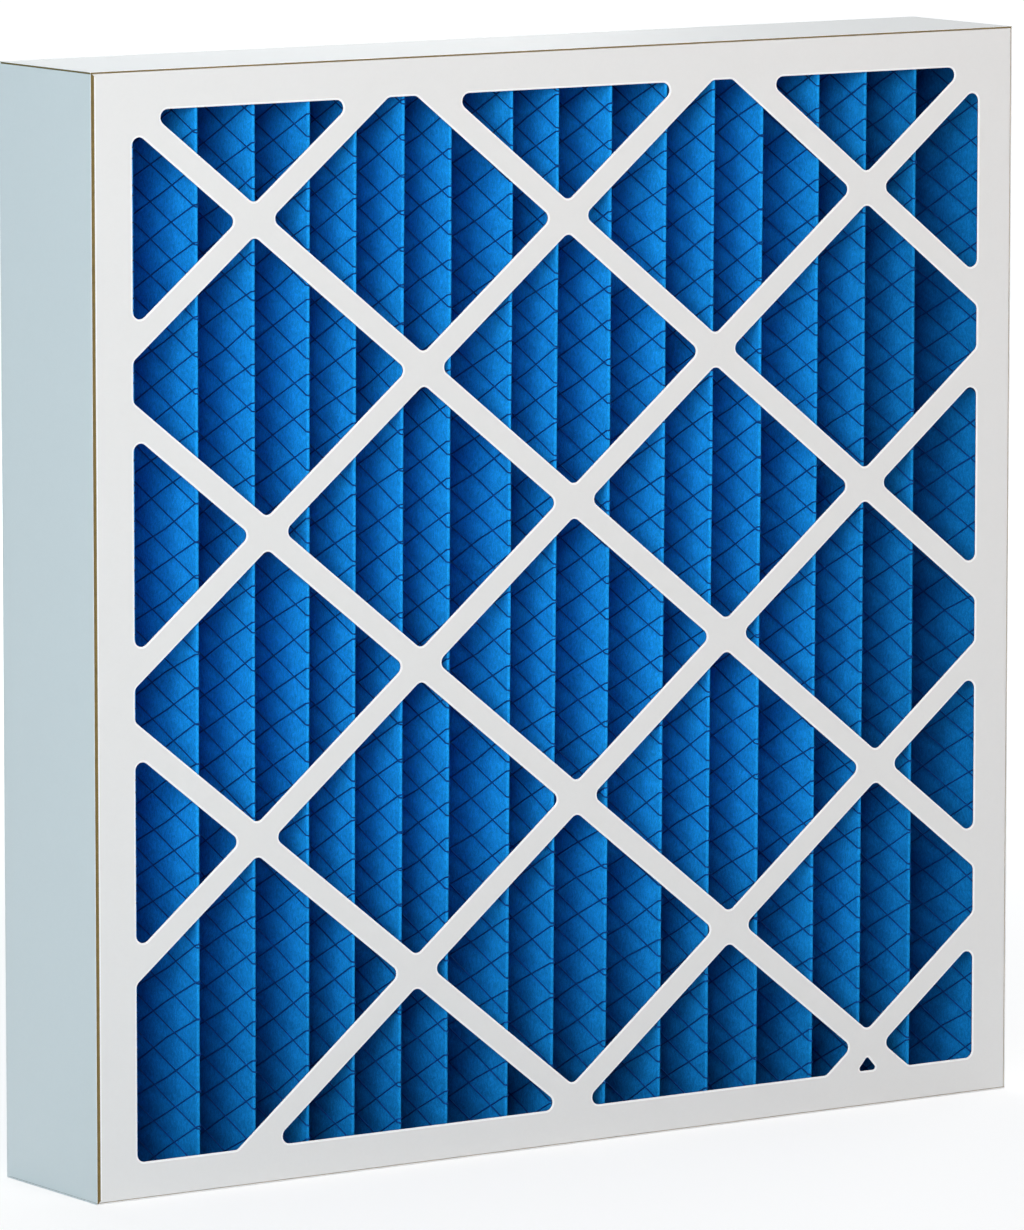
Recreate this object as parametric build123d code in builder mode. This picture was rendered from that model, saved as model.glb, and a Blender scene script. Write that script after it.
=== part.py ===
"""Pleated panel air filter: a pleated blue media pack held between two die-cut board trays.

Millimetres. +Z is up, the side of the pleats that carries the support mesh looks towards -Y,
and the origin is the middle of the bottom edge, halfway through the depth. The filter stands
on its bottom edge with its pleats upright.
"""

import os
from itertools import accumulate, pairwise
from math import acos, degrees, radians, tan

from build123d import *

os.makedirs("parts", exist_ok=True)

# ---------------------------------------------------------------- driving dimensions
panel_width = 594.0
panel_height = 594.0
panel_depth = 92.0

board = 0.9              # thickness of the die-cut board
fold_radius = 1.1        # outside radius where the board is folded
glue_line = 0.1          # gap left for the glue between two faces
corner_slit = 0.4        # gap between two neighbouring walls at a tray's corner
slit_stop = 2.5          # board left whole between a slit's end and the tray's face

border_left = 25.0       # board left between the panel's outline and the windows
border_right = 23.0
border_top = 21.0
border_bottom = 20.0
strut_width = 13.2
fall_angle = 38.6        # degrees, struts that fall to the right
rise_angle = 39.4        # degrees, struts that rise to the right
fall_heights = (668.0, 505.0, 355.0, 195.5, 28.0)           # where each strut's centre line
rise_heights = (674.5, 503.0, 346.5, 184.0, 20.5, -131.5)   # crosses the panel's middle
crossing_radius = 4.8    # window corners where two struts cross
border_radius = 3.2      # window corners on the border

wall_stop = 1.0          # between the front tray's wall ends and the rear tray's face

media_thickness = 1.2
mesh_thickness = 0.35
laminate_gap = 0.05      # between the media and the support mesh
inner_fold = 0.1         # inside radius of the mesh where it is folded tightest
end_flap = 60.0          # length of media that lies flat against each side wall
# shares of the width from the left wall over each pleat tip to the right wall
pleat_spacing = (22.5, 39, 35, 34, 29, 30, 30, 39, 29.5, 34.5, 36, 31.5, 32.5, 37.5, 32, 34, 46, 16.5)

glue_film = 0.4          # thickness of the cured adhesive round the pleat pack
film_margin = 3.0        # from the films to the front and rear faces inside the trays

# ---------------------------------------------------------------- worked out from these
front_y = -panel_depth / 2
rear_y = panel_depth / 2
inset = board + glue_line                    # from the outline to the front tray's outside
inner_side = panel_width / 2 - inset - board       # X of the walls' inner faces
inner_low = inset + board                    # Z of the walls' inner faces
inner_high = panel_height - inset - board
wall_end = rear_y - board - wall_stop
pleat_radius = media_thickness / 2 + laminate_gap + mesh_thickness + inner_fold
pack_front = front_y + board + glue_line     # the planes that the pleat pack reaches
pack_rear = rear_y - board - glue_line
media_side = inner_side - 2 * glue_line - glue_film - media_thickness / 2
pack_low = inner_low + 2 * glue_line + glue_film
pack_high = inner_high - 2 * glue_line - glue_film

front_face = Plane.XZ.offset(-front_y)       # local x is X, local y is Z, the normal is -Y
rear_face = Plane.XZ.offset(-rear_y)


# ---------------------------------------------------------------- die-cut windows
def largest_radius(cell, wanted):
    """The wanted corner radius, or less where one of the cell's sides is too short for it."""
    limit = wanted
    for side in cell.edges().filter_by(GeomType.LINE):
        reach = 0
        for corner in side.vertices():
            meeting = [e for e in cell.edges() if corner in e.vertices()]
            ends = [v for e in meeting for v in e.vertices() if v != corner]
            here = Vector(corner)
            opening = (Vector(ends[0]) - here).get_angle(Vector(ends[1]) - here)
            reach += 1 / tan(radians(opening / 2))
        limit = min(limit, 0.9 * side.length / reach)
    return limit


def window_cells():
    """The openings between the struts, with rounded corners, drawn flat."""
    left = -panel_width / 2 + border_left
    right = panel_width / 2 - border_right
    low = border_bottom
    high = panel_height - border_top
    strut_length = 2 * (panel_width + panel_height)
    with BuildSketch() as sharp:
        with Locations(((left + right) / 2, (low + high) / 2)):
            Rectangle(right - left, high - low)
        for heights, angle in ((fall_heights, -fall_angle), (rise_heights, rise_angle)):
            with Locations([(0, height) for height in heights]):
                Rectangle(strut_length, strut_width, rotation=angle, mode=Mode.SUBTRACT)
    rounded = []
    for cell in sharp.faces():
        corner = largest_radius(cell, crossing_radius)
        for radius, on_border in ((corner, False), (min(corner, border_radius), True)):
            chosen = cell.vertices().filter_by(
                lambda v: on_border != (left < round(v.X, 3) < right and low < round(v.Y, 3) < high)
            )
            cell = cell.fillet_2d(radius, chosen) if chosen else cell
        rounded.append(cell)
    with BuildSketch() as cells:
        add(rounded)
    return cells.sketch


windows = window_cells()


# ---------------------------------------------------------------- folded trays
def corner_slits(outside, low, high, open_end, closed_end):
    """Cut the side walls free of the bottom and top walls, which reach over their ends."""
    middle = (open_end + closed_end) / 2
    for x in (-outside, outside):
        for z in (low + board + corner_slit / 2, high - board - corner_slit / 2):
            with Locations((x, middle, z)):
                Box(2 * board, abs(closed_end - open_end), corner_slit, mode=Mode.SUBTRACT)


with BuildPart() as front_tray:
    with BuildSketch(front_face):
        with Locations((0, panel_height / 2)):
            Rectangle(panel_width - 2 * inset, panel_height - 2 * inset)
    extrude(amount=front_y - wall_end)
    fillet(front_tray.faces().sort_by(Axis.Y)[0].edges(), fold_radius)
    offset(amount=-board, openings=front_tray.faces().sort_by(Axis.Y)[-1])
    with BuildSketch(front_face):
        add(windows)
    extrude(amount=-2 * board, mode=Mode.SUBTRACT)
    corner_slits(panel_width / 2 - inset, inset, panel_height - inset, wall_end + 1, front_y + slit_stop)

with BuildPart() as rear_tray:
    with BuildSketch(rear_face):
        with Locations((0, panel_height / 2)):
            Rectangle(panel_width, panel_height)
    extrude(amount=panel_depth)
    fillet(rear_tray.faces().sort_by(Axis.Y)[-1].edges(), fold_radius)
    offset(amount=-board, openings=rear_tray.faces().sort_by(Axis.Y)[0])
    with BuildSketch(rear_face):
        add(windows)
    extrude(amount=2 * board, mode=Mode.SUBTRACT)
    corner_slits(panel_width / 2, 0, panel_height, front_y - 1, rear_y - slit_stop)


# ---------------------------------------------------------------- pleated pack
fold_front = pack_front + mesh_thickness + laminate_gap + media_thickness / 2 + pleat_radius
fold_rear = pack_rear - media_thickness / 2 - pleat_radius
tips = [2 * media_side * run / sum(pleat_spacing) - media_side for run in accumulate(pleat_spacing)][:-1]
valleys = [(a + b) / 2 for a, b in pairwise(tips)]
valleys = [pleat_radius - media_side, *valleys, media_side - pleat_radius]


def straight_run(fold, next_fold):
    """The two ends of the flat stretch between one fold's arc and the next one's."""
    centre, radius = fold
    next_centre, next_radius = next_fold
    run = next_centre - centre
    swing = degrees(acos((radius + next_radius) / run.length))
    across = run.normalized().rotate(Axis.Z, swing if run.Y < 0 else -swing)
    return centre + across * radius, next_centre - across * next_radius


def pleat_line(shift):
    """The folded sheet's middle line, seen from above, moved by shift towards the front side."""
    folds = [(Vector(x, fold_rear), pleat_radius - shift) for x in valleys]
    fronts = [(Vector(x, fold_front), pleat_radius + shift) for x in tips]
    for place, fold in enumerate(fronts):
        folds.insert(2 * place + 1, fold)
    flap = Vector(0, end_flap)
    arrive = Vector(shift - media_side, fold_rear)
    with BuildLine() as line:
        Line(arrive - flap, arrive)
        for fold, next_fold in pairwise(folds):
            leave, next_arrive = straight_run(fold, next_fold)
            ThreePointArc(arrive, crown(fold), leave)
            Line(leave, next_arrive)
            arrive = next_arrive
        leave = Vector(media_side - shift, fold_rear)
        ThreePointArc(arrive, crown(folds[-1]), leave)
        Line(leave, leave - flap)
    return line.wire()


def crown(fold):
    """The point of a fold's arc that reaches furthest to the front or the rear."""
    centre, radius = fold
    return centre + Vector(0, radius if centre.Y > 0 else -radius)


def pleated_section(middle, thickness):
    """The cut end of a pleated sheet whose middle is shifted towards the front side."""
    with BuildSketch(Plane.XY.offset(pack_low)) as section:
        with BuildLine():
            front = pleat_line(middle + thickness / 2)
            back = pleat_line(middle - thickness / 2)
            add([front, back])
            Line(front @ 0, back @ 0)
            Line(front @ 1, back @ 1)
        make_face()
    return section.sketch


with BuildPart() as pleated_media:
    with BuildSketch(Plane.XY.offset(pack_low)):
        add(pleated_section(0, media_thickness))
    extrude(amount=pack_high - pack_low)

with BuildPart() as support_mesh:
    with BuildSketch(Plane.XY.offset(pack_low)):
        add(pleated_section(media_thickness / 2 + laminate_gap + mesh_thickness / 2, mesh_thickness))
    extrude(amount=pack_high - pack_low)


# ---------------------------------------------------------------- adhesive round the pack
film_depth = wall_end - pack_front - 2 * film_margin
film_middle = (wall_end + pack_front) / 2

with BuildPart() as bottom_adhesive:
    with Locations((0, film_middle, inner_low + glue_line + glue_film / 2)):
        Box(2 * (inner_side - glue_line), film_depth, glue_film)

with BuildPart() as top_adhesive:
    with Locations((0, film_middle, inner_high - glue_line - glue_film / 2)):
        Box(2 * (inner_side - glue_line), film_depth, glue_film)

with BuildPart() as left_adhesive:
    with Locations((glue_line + glue_film / 2 - inner_side, fold_rear - end_flap / 2, panel_height / 2)):
        Box(glue_film, end_flap, pack_high - pack_low)

with BuildPart() as right_adhesive:
    with Locations((inner_side - glue_line - glue_film / 2, fold_rear - end_flap / 2, panel_height / 2)):
        Box(glue_film, end_flap, pack_high - pack_low)


# ---------------------------------------------------------------- one STEP file a piece
pieces = {
    "front_tray": front_tray,
    "rear_tray": rear_tray,
    "pleated_media": pleated_media,
    "support_mesh": support_mesh,
    "top_adhesive": top_adhesive,
    "bottom_adhesive": bottom_adhesive,
    "left_adhesive": left_adhesive,
    "right_adhesive": right_adhesive,
}
for name, piece in pieces.items():
    piece.part.label = name
    export_step(piece.part, f"parts/{name}.step")
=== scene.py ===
"""A pleated panel air filter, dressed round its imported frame.

Two folded trays of clay-coated board hold a pack of blue felt, folded into deep upright
pleats, with a thin diamond net laid on the side that faces -Y. Metres, in the frame's axes:
+Z up, the net side towards -Y, and the origin in the middle of the bottom edge.
"""

from math import acos, atan2, cos, pi, radians, sin, tan

import bmesh
import bpy
import numpy as np
from bpy.props import FloatProperty, FloatVectorProperty, IntProperty, PointerProperty
from mathutils import Matrix, Vector
from mathutils.geometry import delaunay_2d_cdt


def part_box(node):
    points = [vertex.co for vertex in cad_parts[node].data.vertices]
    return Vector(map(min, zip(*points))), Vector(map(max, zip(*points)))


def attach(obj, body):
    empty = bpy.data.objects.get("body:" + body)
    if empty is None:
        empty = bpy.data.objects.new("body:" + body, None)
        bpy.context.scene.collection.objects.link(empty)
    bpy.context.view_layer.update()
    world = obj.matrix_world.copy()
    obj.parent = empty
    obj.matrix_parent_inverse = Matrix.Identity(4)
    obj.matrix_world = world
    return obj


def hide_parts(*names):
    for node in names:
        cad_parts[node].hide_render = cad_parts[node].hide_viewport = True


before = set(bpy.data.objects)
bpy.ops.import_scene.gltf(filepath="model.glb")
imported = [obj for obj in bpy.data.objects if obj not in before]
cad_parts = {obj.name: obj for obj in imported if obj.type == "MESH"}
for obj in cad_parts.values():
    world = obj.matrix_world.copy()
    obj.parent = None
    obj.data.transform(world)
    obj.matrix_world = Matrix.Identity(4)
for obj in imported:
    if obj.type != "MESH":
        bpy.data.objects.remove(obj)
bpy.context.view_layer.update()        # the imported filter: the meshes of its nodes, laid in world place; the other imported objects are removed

bl_info = {
    "name": "Pleated Panel Filter",
    "version": (1, 0, 0),
    "blender": (4, 5, 0),
    "location": "3D View > Sidebar > Filter",
    "description": "Builds the board trays, the pleated felt and the net of a panel filter round its frame",
    "category": "Add Mesh",
}

BODY = "root"
MM = 0.001
PANEL_LOW, PANEL_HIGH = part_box("rear_tray")
PANEL_SIZE = PANEL_HIGH - PANEL_LOW
MEDIA_LOW, MEDIA_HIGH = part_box("pleated_media")


# ------------------------------------------------------------------ sizes and colours
def length(title, text, value, **limits):
    """A property that holds a length in metres."""
    return FloatProperty(name=title, description=text, default=value, unit="LENGTH", precision=5, **limits)


def colour(title, text, value):
    """A property that holds a linear colour."""
    return FloatVectorProperty(name=title, description=text, default=value, subtype="COLOR", min=0, max=1)


def angle(title, text, degrees):
    """A property that holds an angle."""
    return FloatProperty(name=title, description=text, default=radians(degrees), subtype="ANGLE")


def power(title, text, watts):
    """A property that holds a lamp's power."""
    return FloatProperty(name=title, description=text, default=watts, unit="POWER")


def share(title, text, value):
    """A property that holds a share from 0 to 1."""
    return FloatProperty(name=title, description=text, default=value, min=0, max=1)


class FilterTraySettings(bpy.types.PropertyGroup):
    """Sizes and colours of the two board trays."""

    board: length("Board", "Thickness of the folded board", 0.9 * MM)
    fold_radius: length("Fold radius", "Outside radius of the folds", 0.35 * MM)
    bare_width: length("Bare width", "Width of core shown along a face's edge at -X", 1.15 * MM)
    liner: length("Liner", "White paper on each side of the board's brown core", 0.16 * MM)
    corner: length("Corner", "Rounding of the trays' upright corners", 0.3 * MM)
    slit: length("Slit", "Gap between two neighbouring walls", 0.15 * MM)
    slit_stop: length("Slit stop", "Board left whole between a slit and the face", 2.5 * MM)
    window_corner: length("Window corner", "Radius of each window's corners", 4.3 * MM)
    # painted highlight: the window rims are pressed, glossier coating whose brighter colour stands in for a
    # highlight
    rim_width: length("Rim width", "Width pressed bright round each window", 1.1 * MM)
    rim_round: length("Rim rounding", "Radius that the die leaves on a window's edge", 0.42 * MM)
    board_colour: colour("Board colour", "Clay-coated face of the board", (0.80, 0.797, 0.785))
    # painted highlight: brighter than the board, for the window rims, the seam and the walls' raw ends
    rim_highlight_colour: colour("Rim colour", "Coating pressed by the die", (0.97, 0.97, 0.965))
    core_colour: colour("Core colour", "Raw edge of the board", (0.21, 0.15, 0.05))
    # painted shade: the windows' cut walls are near black, standing in for the shadow inside each window's
    # edge
    cut_shade_colour: colour("Cut colour", "Cut wall of each window", (0.030, 0.030, 0.040))
    back_colour: colour("Back colour", "Uncoated inner side of the board", (0.42, 0.31, 0.19))


class FilterMediaSettings(bpy.types.PropertyGroup):
    """Sizes and colours of the pleated felt."""

    thickness: length("Thickness", "Thickness of the felt", 1.2 * MM)
    fold_radius: length("Fold radius", "Radius of the felt's middle where it is folded", 0.35 * MM)
    end_flap: length("End flap", "Felt that lies against each side wall", 60 * MM)
    bow: length("Bow", "How far a pleat's flat side bows out", 0.7 * MM)
    lean: length("Lean", "How far the middle pleats lean from upright at their ends", 2.0 * MM)
    wave: length("Wave", "How far the pleats wander along their height", 0.7 * MM)
    rows: IntProperty(name="Rows", description="Rows of faces along the pleats", default=36, min=2)
    quilt: length("Quilt", "How far the felt swells through each diamond of the net", 1.2 * MM)
    felt_colour: colour("Felt colour", "Felt halfway between the folds", (0.005, 0.165, 0.60))
    # fold colour: felt stretched over a fold, and painted light standing in for the shade deep in each pleat
    stretched_lit_fold_colour: colour("Fold colour", "Felt stretched towards a fold", (0.012, 0.315, 0.80))
    # painted shade: how much the felt's colour is darkened at its right end and its foot
    painted_edge_shade: share("Edge shade", "Tone taken off the felt at its right end and its foot", 0.38)
    fibre_contrast: share("Fibre contrast", "How much darker the darkest fibres are", 0.55)


class FilterNetSettings(bpy.types.PropertyGroup):
    """Sizes and colour of the net on the felt."""

    strand_width: length("Strand width", "Width of one strand", 0.95 * MM)
    diamond_height: length("Diamond height", "Height of one diamond", 19.5 * MM)
    diamond_length: length("Diamond length", "Length of one diamond along the felt", 32 * MM)
    falling_wobble: length("Falling wobble", "How far the falling strands stray", 0.9 * MM)
    rising_wobble: length("Rising wobble", "How far the rising strands stray", 2.0 * MM)
    kink: length("Kink", "How far strands are pushed aside at a fold", 0.5 * MM)
    strand_colour: colour("Strand colour", "Coating of the strands", (0.003, 0.05, 0.22))


class FilterStageSettings(bpy.types.PropertyGroup):
    """Camera and lights."""

    azimuth: angle("Azimuth", "Turn of the view about the upright axis", -33.99)
    elevation: angle("Elevation", "Height of the view above level", 7.72)
    distance: length("Distance", "From the camera to the filter's middle", 5.05)
    aim_across: length("Aim across", "Camera moved to its right", -3.4 * MM)
    aim_up: length("Aim up", "Camera moved up", -12.6 * MM)
    lens: FloatProperty(name="Lens", description="Focal length", default=273.2, unit="CAMERA")
    front_light: power("Front light", "Softbox in front", 51)
    top_light: power("Top light", "Softbox overhead", 3.5)
    side_light: power("Side light", "Softbox at the left", 61)
    right_light: power("Right light", "Softbox at the right", 58)
    back_light: power("Back light", "Softbox behind", 75)
    sky_colour: colour("Sky colour", "Light from all round", (0.07, 0.14, 0.18))


# ------------------------------------------------------------------ node trees
class Graph:
    """Adds nodes to a tree and links them."""

    def __init__(self, tree):
        self.tree = tree

    def add(self, kind, inputs=None, **settings):
        """A new node, with its settings made and its inputs fed."""
        node = self.tree.nodes.new(kind)
        for name, value in settings.items():
            setattr(node, name, value)
        for place, value in (inputs or {}).items():
            self.feed(node.inputs[place], value)
        return node

    def feed(self, socket, value):
        """Links a socket to another one, or gives it a plain value."""
        if isinstance(value, bpy.types.NodeSocket):
            self.tree.links.new(value, socket)
        else:
            socket.default_value = value

    def math(self, operation, *values):
        """The output of a Math node."""
        return self.add("ShaderNodeMath", dict(enumerate(values)), operation=operation).outputs[0]

    def plus(self, first, second):
        """The sum of two values."""
        return self.math("ADD", first, second)

    def minus(self, first, second):
        """The first value less the second."""
        return self.math("SUBTRACT", first, second)

    def times(self, first, second):
        """The product of two values."""
        return self.math("MULTIPLY", first, second)

    def swing(self, value, gain):
        """A value of 0..1 turned to swing about zero, by half the gain each way."""
        return self.times(self.minus(value, 0.5), gain)

    def split(self, vector):
        """A vector's X, Y and Z."""
        return self.add("ShaderNodeSeparateXYZ", {0: vector}).outputs

    def vector(self, *parts):
        """A vector from its X, Y and Z, of which the last may be left out."""
        return self.add("ShaderNodeCombineXYZ", dict(enumerate(parts))).outputs[0]

    def scaled(self, vector, factor):
        """A vector or colour multiplied by a value."""
        return self.add("ShaderNodeVectorMath", {0: vector, "Scale": factor}, operation="SCALE").outputs[0]

    def stretched(self, vector, factors):
        """A vector multiplied by a factor on each axis."""
        return self.add("ShaderNodeVectorMath", {0: vector, 1: factors}, operation="MULTIPLY").outputs[0]

    def ramp(self, value, low, high):
        """A value brought from low..high to 0..1, smoothly."""
        node = self.add("ShaderNodeMapRange", {0: value, 1: low, 2: high}, interpolation_type="SMOOTHSTEP")
        return node.outputs[0]

    def mix(self, factor, first, second):
        """The colour between two colours."""
        node = self.add("ShaderNodeMix", {0: factor, 6: first, 7: second}, data_type="RGBA")
        return node.outputs[2]

    def noise(self, vector, scale, detail=2.0, roughness=0.5):
        """The grey output of a Noise Texture."""
        inputs = {"Vector": vector, "Scale": scale, "Detail": detail, "Roughness": roughness}
        return self.add("ShaderNodeTexNoise", inputs).outputs[0]

    def group(self, tree, inputs):
        """Another tree used as one node."""
        return self.add("ShaderNodeGroup", inputs, node_tree=tree).outputs


def new_tree(name, kind, inputs, outputs):
    """An empty tree with its named sockets, and the nodes at its two ends."""
    tree = bpy.data.node_groups.new(name, kind)
    for title, socket_kind, value in inputs:
        socket = tree.interface.new_socket(title, in_out="INPUT", socket_type="NodeSocket" + socket_kind)
        if value is not None:
            socket.default_value = value
    for title, socket_kind in outputs:
        tree.interface.new_socket(title, in_out="OUTPUT", socket_type="NodeSocket" + socket_kind)
    graph = Graph(tree)
    return graph, graph.add("NodeGroupInput").outputs, graph.add("NodeGroupOutput").inputs


def shader_group(name, inputs, outputs, make):
    """A shader node group, made on its first use."""
    if name not in bpy.data.node_groups:
        graph, given, results = new_tree(name, "ShaderNodeTree", inputs, outputs)
        for title, value in make(graph, given).items():
            graph.feed(results[title], value)
    return bpy.data.node_groups[name]


def paper_fibres():
    """Cloudy tone, fine fibres and their height, for every kind of board and paper."""
    def make(graph, given):
        place = given["Position"]
        cloud = graph.noise(place, 9.0, 3.0)
        fibre = graph.noise(place, given["Fibre Scale"], 6.0, 0.62)
        speck = graph.noise(place, 2600.0, 2.0)
        tone = graph.swing(cloud, given["Cloud"])
        grain = graph.swing(fibre, given["Grain"])
        tone = graph.plus(graph.plus(tone, grain), 1.0)
        shade = graph.scaled(given["Colour"], tone)
        height = graph.plus(fibre, graph.times(speck, 0.35))
        rough = graph.plus(given["Roughness"], graph.times(grain, 0.8))
        return {"Colour": shade, "Height": height, "Roughness": rough}

    inputs = [("Position", "Vector", None), ("Colour", "Color", (1, 1, 1, 1)), ("Cloud", "Float", 0.03),
              ("Grain", "Float", 0.05), ("Fibre Scale", "Float", 420.0), ("Roughness", "Float", 0.6)]
    outputs = [("Colour", "Color"), ("Height", "Float"), ("Roughness", "Float")]
    return shader_group("Paper Fibres", inputs, outputs, make)


def edge_rub():
    """Where the panel's outer edges and corners have been rubbed by hands and racks."""
    def make(graph, given):
        split = graph.split(given["Position"])
        across = graph.minus(PANEL_SIZE.x / 2, graph.math("ABSOLUTE", split[0]))
        deep = graph.minus(PANEL_SIZE.y / 2, graph.math("ABSOLUTE", split[1]))
        level = graph.math("ABSOLUTE", graph.minus(split[2], PANEL_SIZE.z / 2))
        level = graph.minus(PANEL_SIZE.z / 2, level)
        least = graph.math("MINIMUM", across, graph.math("MINIMUM", deep, level))
        most = graph.math("MAXIMUM", across, graph.math("MAXIMUM", deep, level))
        total = graph.plus(across, graph.plus(deep, level))
        middle = graph.minus(total, graph.plus(least, most))
        patchy = graph.noise(given["Position"], 70.0, 5.0, 0.65)
        reach = graph.times(given["Reach"], graph.ramp(patchy, 0.42, 0.72))
        reach = graph.plus(reach, 0.05 * MM)
        return {"Mask": graph.minus(1.0, graph.ramp(middle, 0.0, reach))}

    inputs = [("Position", "Vector", None), ("Reach", "Float", 2 * MM)]
    return shader_group("Edge Rub", inputs, [("Mask", "Float")], make)


def fibre_mat():
    """Tangled fibres of a felt: a light and dark mottle and the height of the tangle."""
    def make(graph, given):
        place = given["Position"]
        warp = graph.add("ShaderNodeTexNoise", {"Vector": place, "Scale": 130.0, "Detail": 2.0}).outputs[1]
        drift = graph.scaled(warp, 0.006)
        bent = graph.add("ShaderNodeVectorMath", {0: place, 1: drift}, operation="ADD").outputs[0]
        flat = graph.stretched(bent, (1.0, 1.0, 0.45))
        strand = graph.noise(flat, given["Fibre Scale"], 5.0, 0.7)
        fluff = graph.noise(place, 2400.0, 3.0, 0.6)
        patch = graph.noise(place, 34.0, 3.0)
        blend = graph.plus(graph.times(strand, 0.62), graph.times(fluff, 0.38))
        light = graph.ramp(blend, 0.34, 0.66)
        light = graph.plus(light, graph.swing(patch, 0.35))
        return {"Light": light, "Height": blend}

    inputs = [("Position", "Vector", None), ("Fibre Scale", "Float", 900.0)]
    return shader_group("Fibre Mat", inputs, [("Light", "Float"), ("Height", "Float")], make)


# ------------------------------------------------------------------ materials
def new_material(name, **values):
    """A material, its graph, its Principled BSDF with plain values set, and the position on the piece."""
    material = bpy.data.materials.new(name)
    material.use_nodes = True
    graph = Graph(material.node_tree)
    shader = material.node_tree.nodes["Principled BSDF"]
    for title, value in values.items():
        shader.inputs[title.replace("_", " ")].default_value = value
    place = graph.add("ShaderNodeTexCoord").outputs["Object"]
    return material, graph, shader.inputs, place


def add_bump(graph, sockets, *layers):
    """Feeds heights, each with its depth and the coarsest first, to a shader's normal."""
    normal = None
    for height, depth in layers:
        inputs = {"Height": height, "Distance": depth}
        if normal:
            inputs["Normal"] = normal
        normal = graph.add("ShaderNodeBump", inputs).outputs[0]
    graph.feed(sockets["Normal"], normal)


def board_material(name, tint, rubbed, cloud=0.012, grain=0.03, roughness=0.55, depth=0.05 * MM):
    """Board or paper: tone and fibres, and rubbed edges that are greyer and rougher."""
    material, graph, sockets, place = new_material(name, Specular_IOR_Level=0.12)
    fibres = graph.group(paper_fibres(), {"Position": place, "Colour": (*tint, 1), "Cloud": cloud,
                                          "Grain": grain, "Roughness": roughness})
    mask = graph.group(edge_rub(), {"Position": place, "Reach": 2.2 * MM})["Mask"]
    mask = graph.times(mask, 0.35)
    graph.feed(sockets["Base Color"], graph.mix(mask, fibres["Colour"], (*rubbed, 1)))
    rough = graph.plus(fibres["Roughness"], graph.times(mask, 0.2))
    graph.feed(sockets["Roughness"], rough)
    add_bump(graph, sockets, (fibres["Height"], depth))
    return material


# painted shade: metres along X, and along Z counted downwards, between which the felt's colour is darkened
SHADED_RIGHT = (0.12, 0.27)
SHADED_DOWN = (-0.24, 0.02)
UNSHADED_TONE = 1.12


def quilted(graph, place, net, developed):
    """How far the felt has swollen: 0 under each strand and 1 in the middle of each diamond."""
    run = graph.add("ShaderNodeAttribute", attribute_name="run").outputs["Fac"]
    level = graph.minus(graph.split(place)[2], MEDIA_LOW.z)
    slope = net.diamond_height / net.diamond_length
    swell = []
    for climb, start in ((slope, 0.0), (-slope, slope * developed)):
        across = graph.plus(level, graph.math("MULTIPLY_ADD", run, climb, start))
        turn = graph.times(across, pi / net.diamond_height)
        swell.append(graph.math("ABSOLUTE", graph.math("SINE", turn)))
    return graph.times(*swell)


def felt_material(settings, net, developed):
    """Blue non-woven felt, swollen through the net: lighter to a fold (stretching and painted light), painted
    shade right and at the foot.
    """
    material, graph, sockets, place = new_material("blue_felt", Roughness=0.95, Specular_IOR_Level=0.0)
    mat = graph.group(fibre_mat(), {"Position": place, "Fibre Scale": 900.0})
    across, depth, level = graph.split(place)
    # lighter towards each fold: partly stretched felt, partly painted light in place of the shade deep in the
    # pleats
    to_fold = graph.math("DIVIDE", graph.math("ABSOLUTE", depth), MEDIA_HIGH.y)
    tone = graph.mix(to_fold, (*settings.felt_colour, 1), (*settings.stretched_lit_fold_colour, 1))
    # painted shade: the felt's colour darkens towards its right end and its foot
    rightwards = graph.ramp(across, *SHADED_RIGHT)
    downwards = graph.ramp(graph.times(level, -1.0), *SHADED_DOWN)
    edge = graph.math("MAXIMUM", rightwards, downwards)
    edge = graph.math("MULTIPLY_ADD", edge, -settings.painted_edge_shade, UNSHADED_TONE)
    contrast = settings.fibre_contrast
    shade = graph.math("MULTIPLY_ADD", mat["Light"], contrast, 1 - 0.6 * contrast)
    shade = graph.times(shade, edge)
    graph.feed(sockets["Base Color"], graph.scaled(tone, shade))
    swelling = quilted(graph, place, net, developed)
    add_bump(graph, sockets, (swelling, settings.quilt), (mat["Height"], 0.35 * MM))
    return material


def strand_material(settings):
    """Thin blue-black coating on the net's strands, scuffed in places."""
    material, graph, sockets, place = new_material("net_coating", Specular_IOR_Level=0.1)
    patch = graph.noise(place, 320.0, 4.0, 0.6)
    scuffed = tuple(1.8 * channel for channel in settings.strand_colour)
    tone = graph.mix(graph.ramp(patch, 0.45, 0.75), (*settings.strand_colour, 1), (*scuffed, 1))
    graph.feed(sockets["Base Color"], tone)
    graph.feed(sockets["Roughness"], graph.plus(0.45, graph.times(patch, 0.3)))
    add_bump(graph, sockets, (patch, 0.05 * MM))
    return material


def glue_material():
    """Cured glue: a milky film with drawn-out streaks."""
    material, graph, sockets, place = new_material("cured_glue", Specular_IOR_Level=0.5, Coat_Weight=0.15)
    drawn = graph.stretched(place, (1.0, 0.12, 1.0))
    streak = graph.noise(drawn, 240.0, 5.0, 0.6)
    tone = graph.mix(graph.ramp(streak, 0.3, 0.7), (0.62, 0.58, 0.46, 1), (0.84, 0.82, 0.75, 1))
    graph.feed(sockets["Base Color"], tone)
    graph.feed(sockets["Roughness"], graph.plus(0.25, graph.times(streak, 0.35)))
    add_bump(graph, sockets, (streak, 0.1 * MM))
    return material


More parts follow.
